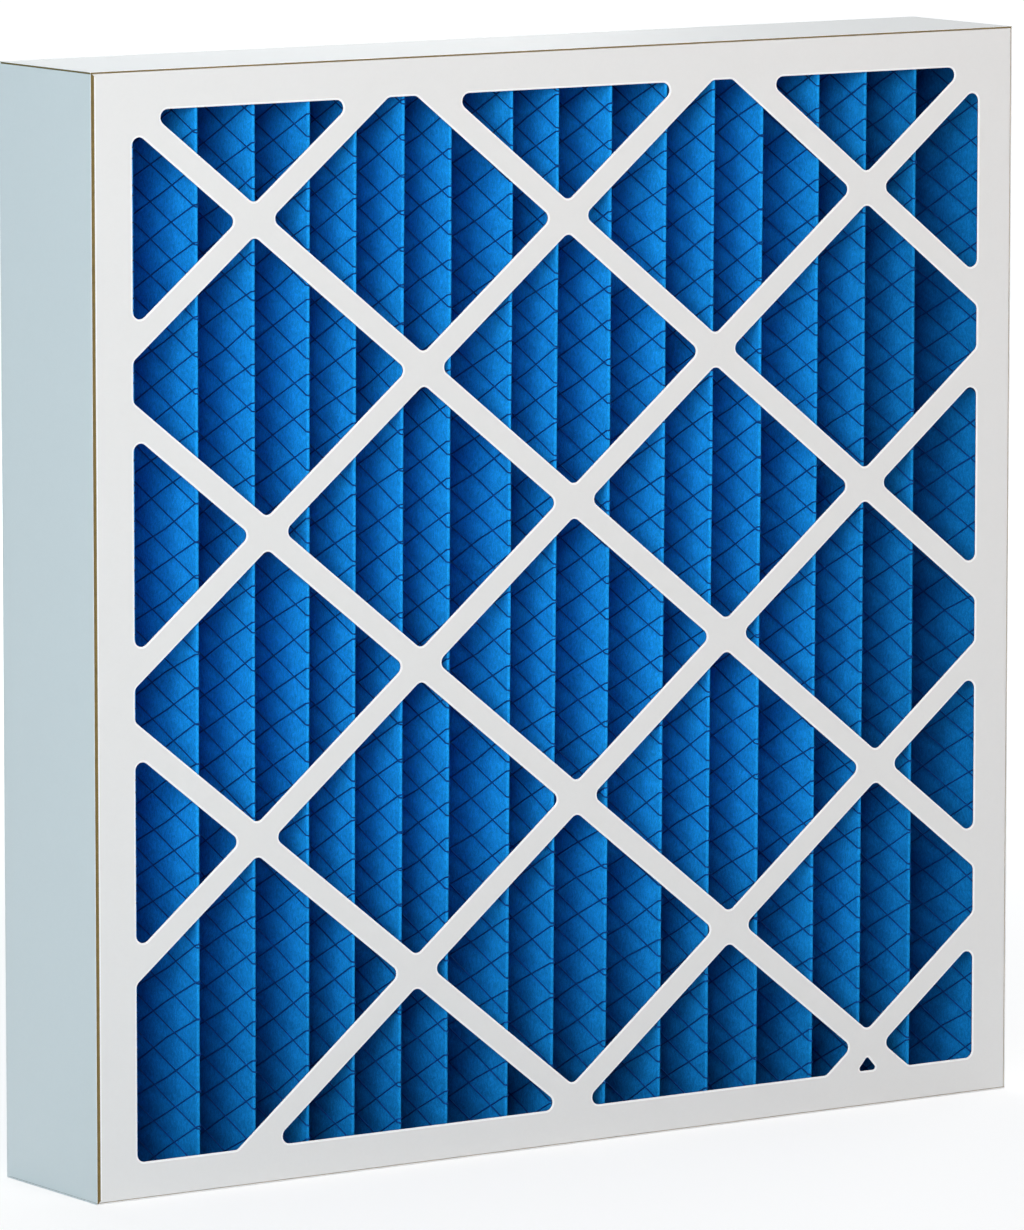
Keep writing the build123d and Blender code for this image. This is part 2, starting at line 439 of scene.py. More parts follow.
# ------------------------------------------------------------------ meshes
class Shell:
    """Rings of points, the quads between them and flat plates, gathered into one mesh."""

    def __init__(self):
        self.points = []
        self.faces = []
        self.slots = []
        self.flat = []

    def ring(self, places):
        """Adds points and returns their numbers."""
        first = len(self.points)
        self.points.extend(map(tuple, places))
        return range(first, len(self.points))

    def face(self, corners, slot, flat=False):
        """Adds one face."""
        self.faces.append(tuple(corners))
        self.slots.append(slot)
        self.flat.append(flat)

    def band(self, ring, following, slot):
        """Quads between two closed rings of as many points."""
        for here in range(len(ring)):
            there = (here + 1) % len(ring)
            self.face((ring[here], ring[there], following[there], following[here]), slot)

    def sweep(self, rings, slots):
        """Bands between rings in a row, each with its own material slot."""
        numbers = [self.ring(places) for places in rings]
        for ring, following, slot in zip(numbers, numbers[1:], slots):
            self.band(ring, following, slot)
        return numbers

    def to_mesh(self, name, crease=40):
        """One closed mesh: doubles merged, faces turned outwards, edges sharp past the crease angle."""
        mesh = bpy.data.meshes.new(name)
        mesh.from_pydata(self.points, [], self.faces)
        mesh.polygons.foreach_set("material_index", self.slots)
        mesh.polygons.foreach_set("use_smooth", [not flat for flat in self.flat])
        tidy_mesh(mesh, crease, merge=2e-6)
        return mesh


def tidy_mesh(mesh, crease, merge):
    """Merges doubles, turns the faces outwards and marks the sharp edges."""
    work = bmesh.new()
    work.from_mesh(mesh)
    bmesh.ops.remove_doubles(work, verts=work.verts, dist=merge)
    bmesh.ops.recalc_face_normals(work, faces=work.faces)
    for edge in work.edges:
        edge.smooth = edge.calc_face_angle(pi) < radians(crease)
    work.to_mesh(mesh)
    work.free()


def new_piece(name, mesh, materials=()):
    """An object at the origin that shows a mesh."""
    piece = bpy.data.objects.new(name, mesh)
    bpy.context.scene.collection.objects.link(piece)
    for material in materials:
        mesh.materials.append(material)
    return piece


def settled_mesh(piece):
    """The piece's mesh with its modifiers in it; the modifiers are taken off."""
    evaluated = piece.evaluated_get(bpy.context.evaluated_depsgraph_get())
    mesh = bpy.data.meshes.new_from_object(evaluated)
    piece.modifiers.clear()
    return mesh


def seat(piece, node):
    """The piece rides on the filter and stands for a node."""
    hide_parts(node)
    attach(piece, BODY)


def face_outlines(node, level):
    """(X, Z) outlines of the windows in a node's flat face at a Y."""
    work = bmesh.new()
    work.from_mesh(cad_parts[node].data)
    bmesh.ops.remove_doubles(work, verts=work.verts, dist=1e-5)
    face = {f for f in work.faces if all(abs(v.co.y - level) < 1e-6 for v in f.verts)}
    onward = {
        loop.vert: loop.link_loop_next.vert
        for f in face for loop in f.loops
        if sum(other in face for other in loop.edge.link_faces) == 1
    }
    outlines = []
    while onward:
        start, vert = onward.popitem()
        outline = [start.co.xz]
        while vert is not start:
            outline.append(vert.co.xz)
            vert = onward.pop(vert)
        outlines.append(np.array(outline))
    work.free()
    outlines.sort(key=lambda outline: np.ptp(outline[:, 0]))
    return [anticlockwise(outline) for outline in outlines[:-1]]


def anticlockwise(outline):
    """The outline turned so that its inside lies to the left."""
    ahead = np.roll(outline, -1, 0)
    turn = np.sum(outline[:, 0] * ahead[:, 1] - ahead[:, 0] * outline[:, 1])
    return outline if turn > 0 else outline[::-1]


NICK_WIDEST = 10 * MM           # a window narrower than this is the nick between two struts
NICK_TRIANGLE = np.array([(-7, 0), (7, 0), (0, 8)]) * MM
NICK_CORNER = 1.4 * MM
SHORTEST_SIDE = 4 * MM          # shorter lines of an outline belong to its old corners
CORNER_POINTS = 9


def recornered(outline, radius):
    """The outline with its straight sides kept and its corners rounded; the nick becomes a triangle."""
    if np.ptp(outline[:, 0]) < NICK_WIDEST:
        middle, foot = np.mean(outline[:, 0]), np.min(outline[:, 1])
        outline = NICK_TRIANGLE + (middle, foot)
        radius = NICK_CORNER
    along = np.roll(outline, -1, 0) - outline
    sides = np.flatnonzero(np.linalg.norm(along, axis=1) > SHORTEST_SIDE)
    corners = []
    for before, after in zip(np.roll(sides, 1), sides):
        apart = outline[after] - outline[before]
        far = np.linalg.solve(np.column_stack([along[before], -along[after]]), apart)[0]
        corners.append(outline[before] + far * along[before])
    points = []
    for corner, before, after in zip(corners, np.roll(sides, 1), sides):
        back, ahead = (way / np.linalg.norm(way) for way in (-along[before], along[after]))
        half = acos(np.clip(back @ ahead, -1, 1)) / 2
        centre = corner + radius / sin(half) * (back + ahead) / np.linalg.norm(back + ahead)
        first = atan2(*(corner + back * radius / tan(half) - centre)[::-1])
        for turn in first + np.linspace(0, pi - 2 * half, CORNER_POINTS):
            points.append(centre + radius * np.array([cos(turn), sin(turn)]))
    return np.array(points)


def moved_out(outline, distance):
    """The outline moved away from its inside."""
    along = np.roll(outline, -1, 0) - outline
    along /= np.linalg.norm(along, axis=1)[:, None]
    ahead = np.column_stack([along[:, 1], -along[:, 0]])
    behind = np.roll(ahead, 1, 0)
    mitre = (ahead + behind) / (1 + np.sum(ahead * behind, axis=1))[:, None]
    return outline + distance * mitre


def rounded_outline(low, high, inset, corner):
    """(X, Z) points of a tray's outline moved inwards, with small round corners."""
    radius = max(corner - inset, 0.03 * MM)
    left, right = low.x + inset + radius, high.x - inset - radius
    bottom, top = low.z + inset + radius, high.z - inset - radius
    centres = ((right, bottom, -90), (right, top, 0), (left, top, 90), (left, bottom, 180))
    steps = np.linspace(0, pi / 2, 5)
    return np.array([
        (x + radius * cos(radians(start) + step), z + radius * sin(radians(start) + step))
        for x, z, start in centres for step in steps
    ])


def inside(points, outline):
    """Which points lie inside an outline."""
    ahead = np.roll(outline, -1, 0)
    x, z = points[:, :1], points[:, 1:]
    crosses = (outline[:, 1] > z) != (ahead[:, 1] > z)
    rise = np.where(crosses, ahead[:, 1] - outline[:, 1], 1.0)
    reach = outline[:, 0] + (z - outline[:, 1]) / rise * (ahead[:, 0] - outline[:, 0])
    return np.count_nonzero(crosses & (x < reach), axis=1) % 2 == 1


def plate_triangles(outline, holes):
    """The points and triangles of a flat plate with holes."""
    loops = [outline, *holes]
    points = np.concatenate(loops)
    edges = []
    first = 0
    for loop in loops:
        edges += [(first + here, first + (here + 1) % len(loop)) for here in range(len(loop))]
        first += len(loop)
    flat = [Vector(point) for point in points / MM]
    found, _, triangles, *_ = delaunay_2d_cdt(flat, edges, [], 1, 1e-5)
    found = np.array([tuple(point) for point in found]) * MM
    triangles = np.array(triangles)
    centres = found[triangles].mean(axis=1)
    hollow = np.any([inside(centres, hole) for hole in holes], axis=0)
    return found, triangles[~hollow]


def quarter(radius, steps):
    """(inwards, down) pairs round a rounded edge, from the flat top to the upright side."""
    turns = np.linspace(0, pi / 2, steps + 1)
    return [(radius - radius * sin(turn), radius - radius * cos(turn)) for turn in turns]


# ------------------------------------------------------------------ board trays
COATED, RIM_HIGHLIGHT, CORE, CUT, BACK = range(5)
SEAM_HIGHLIGHT = 0.8 * MM             # painted highlight: a bright band beside the core that shows at the face's edge
SEAM_HIGHLIGHT_REACH = 0.7 * MM           # how far past the core a face's middle still gets the painted highlight
BURR = 0.08 * MM                # how far a cut edge is broken
END_HIGHLIGHT = 0.5 * MM          # painted highlight along a wall's raw end


def tray_mesh(node, settings, materials):
    """A die-cut tray: a face with rounded windows, folds, four walls, raw edges and corner slits."""
    low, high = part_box(node)
    front = node == "front_tray"
    face, open_end = (low.y, high.y) if front else (high.y, low.y)
    inwards = 1 if front else -1
    depth = abs(open_end - face)
    board, fold, liner, bare = settings.board, settings.fold_radius, settings.liner, settings.bare_width
    bend = max(fold - board, 0.05 * MM)
    windows = [recornered(window, settings.window_corner) for window in face_outlines(node, face)]
    shell = Shell()

    def lifted(outline, down):
        return [(x, face + inwards * down, z) for x, z in outline]

    # from the face, over the fold, down the wall, round its raw end and back up the inside
    outer = [(bare + SEAM_HIGHLIGHT, 0.0), (bare, 0.0), *quarter(fold, 4), (0.0, settings.slit_stop),
             (0.0, depth - END_HIGHLIGHT), (0.0, depth - BURR), (BURR, depth), (liner, depth)]
    core_end = [(board - liner / 2, depth)]
    inner = [(board, depth - 0.05 * MM), (board, settings.slit_stop)]
    inner += [(board + x, board + y) for x, y in reversed(quarter(bend, 3))]
    inner += [(bare + SEAM_HIGHLIGHT, board)]
    section = outer + core_end + inner
    # painted highlight: the three bright bands along each wall's raw end
    slots = [COATED] * (len(outer) - 4) + [RIM_HIGHLIGHT] * 3 + [CORE] + [BACK] * len(inner)
    rings = [lifted(rounded_outline(low, high, inset, settings.corner), down) for inset, down in section]
    shell.sweep(rings, slots)

    # each window: a pressed, glossier rim and its rounding with a painted highlight, the cut wall painted as
    # shade, and the inner side
    rim = [(settings.rim_width, 0.0), *quarter(settings.rim_round, 5), (0.0, board - BURR)]
    rim_slots = [RIM_HIGHLIGHT] * (len(rim) - 2) + [CUT, BACK]
    rim.append((BURR, board))
    for window in windows:
        shell.sweep([lifted(moved_out(window, out), down) for out, down in rim], rim_slots)

    for (inset, down), (out, _), slot in ((section[0], rim[0], COATED), (section[-1], rim[-1], BACK)):
        outline = rounded_outline(low, high, inset, settings.corner)
        points, triangles = plate_triangles(outline, [moved_out(window, out) for window in windows])
        numbers = shell.ring(lifted(points, down))
        for triangle in triangles:
            shell.face((numbers[corner] for corner in triangle), slot, flat=True)
    mesh = shell.to_mesh(node)
    for material in materials:
        mesh.materials.append(material)
    show_core(mesh, low, high, face, settings)
    return cut_slits(mesh, node, settings, materials)


def show_core(mesh, low, high, face, settings):
    """The core shows along each face's edge at -X, and on raw ends at -X and the top only."""
    for polygon in mesh.polygons:
        centre = polygon.center
        wrapped = high.x - centre.x < settings.board or centre.z - low.z < settings.board
        if polygon.material_index == CORE and wrapped:
            polygon.material_index = COATED
        inset = centre.x - low.x
        at_face = 0 <= centre.y - face < settings.fold_radius
        # painted highlight: a bright band beside the core along the face's edge at -X
        if polygon.material_index == COATED and at_face and inset < settings.bare_width + SEAM_HIGHLIGHT_REACH:
            polygon.material_index = CORE if inset < settings.bare_width else RIM_HIGHLIGHT


def cut_slits(mesh, node, settings, materials):
    """Parts the side walls from the bottom and top walls, whose raw ends then show at the corners."""
    low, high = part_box(node)
    front = node == "front_tray"
    stop = low.y + settings.slit_stop if front else high.y - settings.slit_stop
    end = high.y + MM if front else low.y - MM
    cutters = bmesh.new()
    for x in (low.x, high.x):
        for z in (low.z + settings.board + settings.slit / 2, high.z - settings.board - settings.slit / 2):
            size = Matrix.Diagonal((4 * settings.board, abs(end - stop), settings.slit, 1))
            bmesh.ops.create_cube(cutters, size=1, matrix=Matrix.Translation((x, (stop + end) / 2, z)) @ size)
    cutter_mesh = bpy.data.meshes.new("slits")
    cutters.to_mesh(cutter_mesh)
    cutters.free()
    cutter = new_piece("slits", cutter_mesh, materials)
    cutter_mesh.polygons.foreach_set("material_index", [CORE] * len(cutter_mesh.polygons))
    tray = new_piece("tray_before_slits", mesh)
    slits = tray.modifiers.new("Slits", "BOOLEAN")
    slits.operation = "DIFFERENCE"
    slits.solver = "EXACT"
    slits.object = cutter
    result = settled_mesh(tray)
    for spare in (tray, cutter):
        bpy.data.objects.remove(spare)
    for polygon in result.polygons:
        centre = polygon.center
        at_end = min(centre.x - low.x, high.x - centre.x) < 0.02 * MM
        in_board = high.z - centre.z < settings.board
        past_stop = abs(centre.y - stop) < abs(centre.y - (low.y if front else high.y))
        if at_end and in_board and past_stop:
            polygon.material_index = CORE
    return result


# ------------------------------------------------------------------ pleated felt
def fold_places(level, towards):
    """X of each fold of the felt that reaches a Y, from the middle of its crown."""
    reached = sorted(v.co.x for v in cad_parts["pleated_media"].data.vertices
                     if (level - v.co.y) * towards < 0.25 * MM)
    folds = [[reached[0]]]
    for x in reached[1:]:
        if x - folds[-1][-1] > 5 * MM:
            folds.append([])
        folds[-1].append(x)
    return [(fold[0] + fold[-1]) / 2 for fold in folds]


class PleatPath:
    """The felt's middle line seen from above, from one end flap over every fold to the other."""

    def __init__(self, settings, flank_steps, fold_steps):
        self.radius = settings.fold_radius
        self.bow = settings.bow
        self.flank_steps = flank_steps
        self.fold_steps = fold_steps
        self.points = []
        self.normals = []
        self.crest = []
        half = settings.thickness / 2
        tips_y = MEDIA_LOW.y + half + self.radius
        valleys_y = MEDIA_HIGH.y - half - self.radius
        tips = [Vector((x, tips_y)) for x in fold_places(MEDIA_LOW.y, -1)]
        valleys = [Vector((x, valleys_y)) for x in fold_places(MEDIA_HIGH.y, 1)]
        valleys[0].x = MEDIA_LOW.x + half + self.radius
        valleys[-1].x = MEDIA_HIGH.x - half - self.radius
        folds = [None] * (len(tips) + len(valleys))
        folds[0::2] = valleys
        folds[1::2] = tips
        self.trace(folds, settings.end_flap)
        steps = np.linalg.norm(np.diff(self.points, axis=0), axis=1)
        self.run = np.concatenate([[0.0], np.cumsum(steps)])

    def trace(self, folds, flap):
        """Walks along the folds and the flat sides between them."""
        chance = np.random.default_rng(11)
        arrive = folds[0] - Vector((self.radius, 0))
        self.flank(arrive - Vector((0, flap)), arrive, Vector((1, 0)), 0.0)
        for place, centre in enumerate(folds):
            last = place == len(folds) - 1
            if last:
                across = Vector((1, 0))
            else:
                run = folds[place + 1] - centre
                swing = acos(2 * self.radius / run.length)
                across = run.normalized()
                across.rotate(Matrix.Rotation(swing if run.y < 0 else -swing, 2))
            leave = centre + across * self.radius
            self.fold(centre, arrive, leave, place % 2 == 1)
            if last:
                self.flank(leave, leave - Vector((0, flap)), -across, 0.0)
                continue
            arrive = folds[place + 1] - across * self.radius
            side = across if place % 2 == 1 else -across
            self.flank(leave, arrive, side, self.bow * chance.uniform(-1, 1))
        self.points = np.array(self.points)
        self.normals = np.array(self.normals)
        self.crest = np.array(self.crest)

    def flank(self, start, end, normal, bow):
        """A flat side of a pleat, slightly bowed; the folds add its two ends."""
        margin = 0.5 * MM / (end - start).length
        places = [margin, *np.arange(1, self.flank_steps) / self.flank_steps, 1 - margin]
        for along in places:
            self.put(start.lerp(end, along) + normal * bow * sin(pi * along), normal, 0.0)

    def fold(self, centre, arrive, leave, tip):
        """A fold's arc. The net's side is outside a tip's arc and inside a valley's."""
        start, end = arrive - centre, leave - centre
        first, last = atan2(start.y, start.x), atan2(end.y, end.x)
        if tip and first > 0:
            first -= 2 * pi
        if not tip and first < 0:
            first += 2 * pi
        for step in range(self.fold_steps + 1):
            turn = first + (last - first) * step / self.fold_steps
            out = Vector((cos(turn), sin(turn)))
            self.put(centre + out * self.radius, out if tip else -out, 1.0 if tip else 0.0)

    def put(self, point, normal, crest):
        """Adds one point of the line."""
        self.points.append(tuple(point))
        self.normals.append(tuple(normal))
        self.crest.append(crest)


def settle_tree():
    """Geometry nodes that let the pleats lean and wander, for the felt and for the net."""
    inputs = [("Geometry", "Geometry", None), ("Lean", "Float", 0.0), ("Wave", "Float", 0.0)]
    graph, given, results = new_tree("Settle Pleats", "GeometryNodeTree", inputs, [("Geometry", "Geometry")])
    place = graph.add("GeometryNodeInputPosition").outputs[0]
    split = graph.split(place)
    across = graph.math("DIVIDE", graph.minus(split[0], MEDIA_LOW.x), MEDIA_HIGH.x - MEDIA_LOW.x)
    free = graph.math("SINE", graph.times(across, pi))
    height = MEDIA_HIGH.z - MEDIA_LOW.z
    level = graph.minus(split[2], (MEDIA_HIGH.z + MEDIA_LOW.z) / 2)
    level = graph.math("DIVIDE", level, height / 2)
    seen = graph.vector(split[0], 0.0, graph.times(split[2], 0.5))
    wander = graph.swing(graph.noise(seen, 14.0, 1.0), 2.0)
    shift = graph.plus(graph.times(given["Lean"], level), graph.times(given["Wave"], wander))
    shift = graph.vector(graph.times(shift, free))
    moved = graph.add("GeometryNodeSetPosition", {"Geometry": given["Geometry"], "Offset": shift})
    graph.feed(results["Geometry"], moved.outputs[0])
    return graph.tree


def settle_group():
    """The tree that settles the pleats, made once."""
    return bpy.data.node_groups.get("Settle Pleats") or settle_tree()


def set_input(modifier, title, value):
    """Gives a geometry nodes modifier one of its named inputs."""
    for item in modifier.node_group.interface.items_tree:
        if item.item_type == "SOCKET" and item.in_out == "INPUT" and item.name == title:
            modifier[item.identifier] = value
            return
    raise KeyError(f"{modifier.node_group.name} has no input {title}")


def felt_mesh(settings):
    """The folded felt as one closed sheet, and its developed length."""
    path = PleatPath(settings, flank_steps=6, fold_steps=8)
    half = settings.thickness / 2
    near = path.points + path.normals * half
    far = path.points - path.normals * half
    outline = np.concatenate([near, far[::-1]])
    levels = np.linspace(MEDIA_LOW.z, MEDIA_HIGH.z, settings.rows + 1)
    shell = Shell()
    rings = shell.sweep([[(x, y, z) for x, y in outline] for z in levels], [0] * settings.rows)
    count = len(path.points)
    for ring in (rings[0], rings[-1]):
        for here in range(count - 1):
            back = 2 * count - 1 - here
            shell.face((ring[here], ring[here + 1], ring[back - 1], ring[back]), 0, flat=True)
    mesh = bpy.data.meshes.new("felt")
    mesh.from_pydata(shell.points, [], shell.faces)
    mesh.polygons.foreach_set("use_smooth", [not flat for flat in shell.flat])
    both_sides = np.concatenate([path.run, path.run[::-1]]).astype(np.float32)
    run = mesh.attributes.new("run", "FLOAT", "POINT")
    run.data.foreach_set("value", np.tile(both_sides, settings.rows + 1))
    tidy_mesh(mesh, crease=50, merge=1e-7)
    return mesh, path.run[-1]


# ------------------------------------------------------------------ net
def net_tree():
    """Geometry nodes that lay two crossing families of strands over the pleats."""
    plain = {"Spacing": 0.02, "Slope": 0.6, "Length": 1.0, "Low": 0.0, "High": 1.0,
             "Falling Wobble": 0.0, "Rising Wobble": 0.0, "Kink": 0.0, "Width": 0.001,
             "Lean": 0.0, "Wave": 0.0, "Seed": 3.7}
    inputs = [("Geometry", "Geometry", None), ("Strands", "Int", 1),
              *((title, "Float", value) for title, value in plain.items()), ("Material", "Material", None)]
    graph, given, results = new_tree("Diamond Net", "GeometryNodeTree", inputs, [("Geometry", "Geometry")])
    line = graph.add("GeometryNodeMeshToCurve", {"Mesh": given["Geometry"]}).outputs[0]
    run, near_fold = (
        graph.add("GeometryNodeInputNamedAttribute", {"Name": name}, data_type="FLOAT").outputs[0]
        for name in ("run", "near_fold")
    )
    joined = graph.add("GeometryNodeJoinGeometry")
    climb = graph.times(run, given["Slope"])
    whole = graph.times(given["Length"], given["Slope"])
    for family, (direction, wobble) in enumerate(((-1, "Falling Wobble"), (1, "Rising Wobble"))):
        copies = graph.add("GeometryNodeDuplicateElements", {"Geometry": line, "Amount": given["Strands"]},
                           domain="SPLINE").outputs
        number = copies["Duplicate Index"]
        start = given["Low"] if direction < 0 else graph.minus(given["Low"], whole)
        level = graph.plus(start, graph.times(number, given["Spacing"]))
        level = graph.plus(level, graph.times(climb, direction))
        # each strand reads its own lane of the noise, so that no two stray alike
        lane = graph.plus(graph.times(number, 3.71), graph.plus(given["Seed"], family * 50))
        stray = graph.swing(graph.noise(graph.vector(graph.times(run, 34.0), lane), 1.0, 2.0), 4.0)
        jolt = graph.swing(graph.noise(graph.vector(graph.times(run, 9.0), lane, 5.3), 1.0, 0.0), 4.0)
        jolt = graph.times(graph.times(jolt, near_fold), given["Kink"])
        level = graph.plus(level, graph.times(stray, given[wobble]))
        level = graph.plus(level, jolt)
        split = graph.split(graph.add("GeometryNodeInputPosition").outputs[0])
        place = graph.vector(split[0], split[1], level)
        strands = graph.add("GeometryNodeSetPosition", {"Geometry": copies["Geometry"], "Position": place})
        height = graph.split(graph.add("GeometryNodeInputPosition").outputs[0])[2]
        middle = graph.math("DIVIDE", graph.plus(given["Low"], given["High"]), 2.0)
        reach = graph.math("DIVIDE", graph.minus(given["High"], given["Low"]), 2.0)
        off = graph.math("ABSOLUTE", graph.minus(height, middle))
        outside = graph.math("GREATER_THAN", off, reach)
        kept = graph.add("GeometryNodeDeleteGeometry",
                         {"Geometry": strands.outputs[0], "Selection": outside}, domain="POINT")
        graph.feed(joined.inputs[0], kept.outputs[0])
    settled = graph.add("GeometryNodeGroup", {"Geometry": joined.outputs[0], "Lean": given["Lean"],
                                              "Wave": given["Wave"]}, node_tree=settle_group())
    radius = graph.math("DIVIDE", given["Width"], 2.0)
    profile = graph.add("GeometryNodeCurvePrimitiveCircle", {"Resolution": 3, "Radius": radius})
    tubes = graph.add("GeometryNodeCurveToMesh", {"Curve": settled.outputs[0],
                                                  "Profile Curve": profile.outputs[0], "Fill Caps": True})
    real = graph.add("GeometryNodeRealizeInstances", {"Geometry": tubes.outputs[0]}).outputs[0]
    coated = graph.add("GeometryNodeSetMaterial", {"Geometry": real, "Material": given["Material"]})
    graph.feed(results["Geometry"], coated.outputs[0])
    return graph.tree


def host_line(settings, lift):
    """The line that every strand follows, on the net's side of the felt, and its length."""
    path = PleatPath(settings, flank_steps=4, fold_steps=4)
    line = path.points + path.normals * lift
    mesh = bpy.data.meshes.new("net_line")
    mesh.from_pydata([(x, y, 0.0) for x, y in line], [(here, here + 1) for here in range(len(line) - 1)], [])
    tips = path.run[path.crest > 0.5]
    nearest = np.min(np.abs(path.run[:, None] - tips[None, :]), axis=1)
    for name, values in (("run", path.run), ("near_fold", np.exp(-nearest / (5 * MM)))):
        mesh.attributes.new(name, "FLOAT", "POINT").data.foreach_set("value", values.astype(np.float32))
    return mesh, path.run[-1]


# ------------------------------------------------------------------ operators
class FILTER_OT_make_trays(bpy.types.Operator):
    """Make the two die-cut board trays"""

    bl_idname = "filter_panel.make_trays"
    bl_label = "Make Board Trays"

    def execute(self, context):
        settings = context.scene.filter_trays
        rubbed = tuple(0.86 * channel for channel in settings.board_colour)
        core = tuple(settings.core_colour)
        materials = [
            board_material("clay_coated_board", settings.board_colour, rubbed),
            # pressed, glossier coating with a painted highlight in its brighter colour
            board_material("pressed_rim_highlight", settings.rim_highlight_colour, rubbed, cloud=0.01, grain=0.02, roughness=0.4),
            board_material("raw_board_edge", core, core,
                           cloud=0.25, grain=0.9, roughness=0.9, depth=0.15 * MM),
            # painted shade: near-black cut walls of the windows
            board_material("cut_board_wall_shade", settings.cut_shade_colour, core,
                           cloud=0.1, grain=0.6, roughness=0.9),
            board_material("uncoated_back", settings.back_colour, core,
                           cloud=0.08, grain=0.2, roughness=0.85),
        ]
        for node in ("front_tray", "rear_tray"):
            tray = new_piece(node + "_board", tray_mesh(node, settings, materials))
            seat(tray, node)
        return {"FINISHED"}


class FILTER_OT_make_felt(bpy.types.Operator):
    """Make the pleated felt"""

    bl_idname = "filter_panel.make_felt"
    bl_label = "Make Pleated Felt"

    def execute(self, context):
        settings = context.scene.filter_media
        mesh, developed = felt_mesh(settings)
        felt = new_piece("pleated_felt", mesh)
        settle = felt.modifiers.new("Settle", "NODES")
        settle.node_group = settle_group()
        set_input(settle, "Lean", settings.lean)
        set_input(settle, "Wave", settings.wave)
        felt.data = settled_mesh(felt)
        felt.data.materials.clear()
        felt.data.materials.append(felt_material(settings, context.scene.filter_net, developed))
        seat(felt, "pleated_media")
        return {"FINISHED"}


class FILTER_OT_make_net(bpy.types.Operator):
    """Lay the diamond net on the felt"""

    bl_idname = "filter_panel.make_net"
    bl_label = "Make Support Net"

    def execute(self, context):
        settings = context.scene.filter_net
        media = context.scene.filter_media
        lift = media.thickness / 2 + 0.3 * settings.strand_width
        mesh, developed = host_line(media, lift)
        net = new_piece("support_net", mesh)
        low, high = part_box("support_mesh")
        slope = settings.diamond_height / settings.diamond_length
        weave = net.modifiers.new("Net", "NODES")
        weave.node_group = net_tree()
        values = {
            "Strands": int((high.z - low.z + slope * developed) / settings.diamond_height) + 1,
            "Spacing": settings.diamond_height, "Slope": slope, "Length": developed,
            "Low": low.z, "High": high.z, "Width": settings.strand_width,
            "Falling Wobble": settings.falling_wobble, "Rising Wobble": settings.rising_wobble,
            "Kink": settings.kink, "Lean": media.lean, "Wave": media.wave,
            "Material": strand_material(settings),
        }
        for title, value in values.items():
            set_input(weave, title, value)
        net.data = settled_mesh(net)
        net.data.shade_smooth()
        seat(net, "support_mesh")
        return {"FINISHED"}


class FILTER_OT_finish_glue(bpy.types.Operator):
    """Give the glue films round the pack their finish"""

    bl_idname = "filter_panel.finish_glue"
    bl_label = "Finish Glue Films"

    def execute(self, context):
        glue = glue_material()
        for side in ("top", "bottom", "left", "right"):
            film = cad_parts[side + "_adhesive"]
            film.data.materials.clear()
            film.data.materials.append(glue)
        return {"FINISHED"}


class FILTER_OT_make_stage(bpy.types.Operator):
    """Set the floor, the lights and the camera"""

    bl_idname = "filter_panel.make_stage"
    bl_label = "Make Stage"

    def execute(self, context):
        settings = context.scene.filter_stage
        make_floor()
        make_sky(settings)
        middle = Vector((0, 0, PANEL_SIZE.z / 2))
        lamps = {
            "front_softbox": ((-0.1, -3.0, 2.0), 1.2, settings.front_light, (1.0, 0.75, 0.64)),
            "top_softbox": ((0.0, 0.1, 2.2), 1.2, settings.top_light, (1.0, 0.93, 0.9)),
            "left_softbox": ((-2.35, -1.77, 1.3), 2.1, settings.side_light, (0.77, 0.93, 1.0)),
            "right_softbox": ((3.0, 1.1, 0.9), 2.0, settings.right_light, (1.0, 1.0, 1.0)),
            "rear_softbox": ((0.9, 3.0, 0.9), 2.2, settings.back_light, (1.0, 1.0, 1.0)),
        }
        for name, (place, size, power, tint) in lamps.items():
            add_softbox(name, Vector(place), middle, size, power, tint)
        add_camera(settings, middle)
        context.scene.view_settings.view_transform = "Standard"
        return {"FINISHED"}


def make_floor():
    """A wide round floor that shows white and keeps the filter's soft shadow."""
    work = bmesh.new()
    bmesh.ops.create_circle(work, cap_ends=True, segments=96, radius=12)
    mesh = bpy.data.meshes.new("floor")
    work.to_mesh(mesh)
    work.free()
    material = bpy.data.materials.new("pale_floor")
    material.use_nodes = True
    graph = Graph(material.node_tree)
    graph.tree.nodes.remove(graph.tree.nodes["Principled BSDF"])
    lit = graph.add("ShaderNodeBsdfDiffuse", {"Color": (0.72, 0.72, 0.72, 1)}).outputs[0]
    soft = graph.add("ShaderNodeBsdfDiffuse", {"Color": (0.3, 0.3, 0.3, 1)}).outputs[0]
    place = graph.add("ShaderNodeTexCoord").outputs["Object"]
    away = graph.add("ShaderNodeVectorMath", {0: place}, operation="LENGTH").outputs["Value"]
    lift = graph.plus(0.74, graph.times(graph.ramp(away, 0.6, 2.5), 0.3))
    glow = graph.add("ShaderNodeEmission", {"Color": (1, 1, 1, 1), "Strength": lift}).outputs[0]
    shown = graph.add("ShaderNodeAddShader", {0: soft, 1: glow}).outputs[0]
    mixed = graph.add("ShaderNodeMixShader", {0: seen_ray(graph), 1: lit, 2: shown}).outputs[0]
    graph.feed(graph.tree.nodes["Material Output"].inputs["Surface"], mixed)
    new_piece("floor", mesh, [material])


def seen_ray(graph):
    """1 for rays that show a backdrop: straight from the camera, in a reflection or through glass."""
    path = graph.add("ShaderNodeLightPath").outputs
    mirrored = graph.math("MAXIMUM", path["Is Glossy Ray"], path["Is Transmission Ray"])
    return graph.math("MAXIMUM", path["Is Camera Ray"], mirrored)


